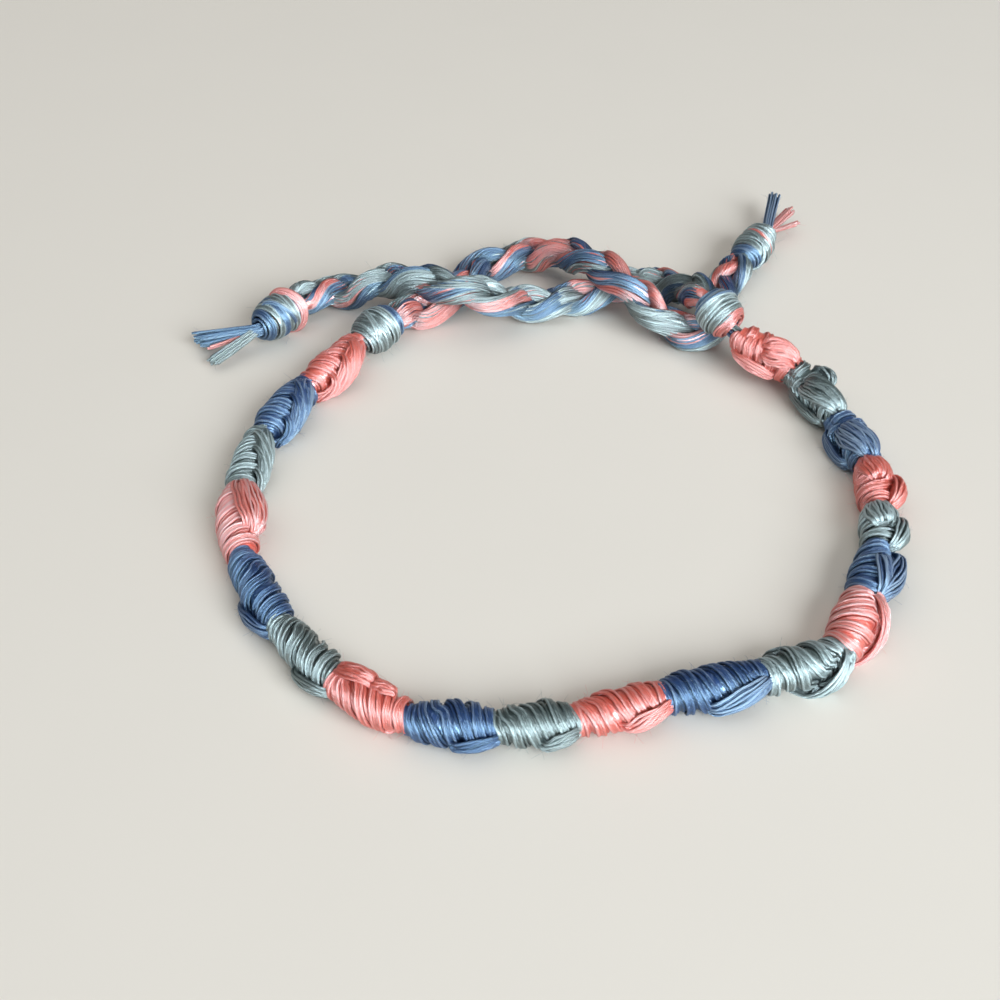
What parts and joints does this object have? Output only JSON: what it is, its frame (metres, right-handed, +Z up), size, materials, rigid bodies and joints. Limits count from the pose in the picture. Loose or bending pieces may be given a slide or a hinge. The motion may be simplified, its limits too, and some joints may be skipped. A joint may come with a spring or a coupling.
{
  "type": "knotted thread bracelet",
  "caption": "Thread bracelet of half hitches in blocks of three colours with a winding ridge, closed by two braided ties that end in knots and short tassels.",
  "frame": {"origin": "on the surface that the bracelet lies on, under the middle of the box of its knotted band and the knots at the band's two ends", "axes": "+X across the wide way of the band towards the finish knot, +Y from the front of the band towards its ties, +Z up from the surface"},
  "size_m": [0.0761, 0.0841, 0.0087],
  "materials": {
    "coral_thread": "mercerised cotton floss, soft sheen",
    "blue_thread": "mercerised cotton floss, soft sheen",
    "sage_thread": "mercerised cotton floss, soft sheen"
  },
  "bodies": {
    "root": {"block_01_coral": "coral_thread", "block_02_blue": "blue_thread", "block_03_sage": "sage_thread", "block_04_coral": "coral_thread", "block_05_blue": "blue_thread", "block_06_sage": "sage_thread", "block_07_coral": "coral_thread", "block_08_blue": "blue_thread", "block_09_sage": "sage_thread", "block_10_coral": "coral_thread", "block_11_blue": "blue_thread", "block_12_sage": "sage_thread", "block_13_coral": "coral_thread", "block_14_blue": "blue_thread", "block_15_sage": "sage_thread", "block_16_coral": "coral_thread", "block_17_blue": "blue_thread", "block_18_sage": "sage_thread", "block_19_coral": "coral_thread", "core_threads": "blue_thread", "start_knot": "sage_thread", "finish_knot": "sage_thread", "left_tie_strand_a": "blue_thread", "left_tie_strand_b": "coral_thread", "left_tie_strand_c": "sage_thread", "left_tie_end_knot": "sage_thread", "left_tie_tassel": "coral_thread", "right_tie_strand_a": "blue_thread", "right_tie_strand_b": "coral_thread", "right_tie_strand_c": "sage_thread", "right_tie_end_knot": "blue_thread", "right_tie_tassel": "blue_thread"}
  },
  "joints": []
}
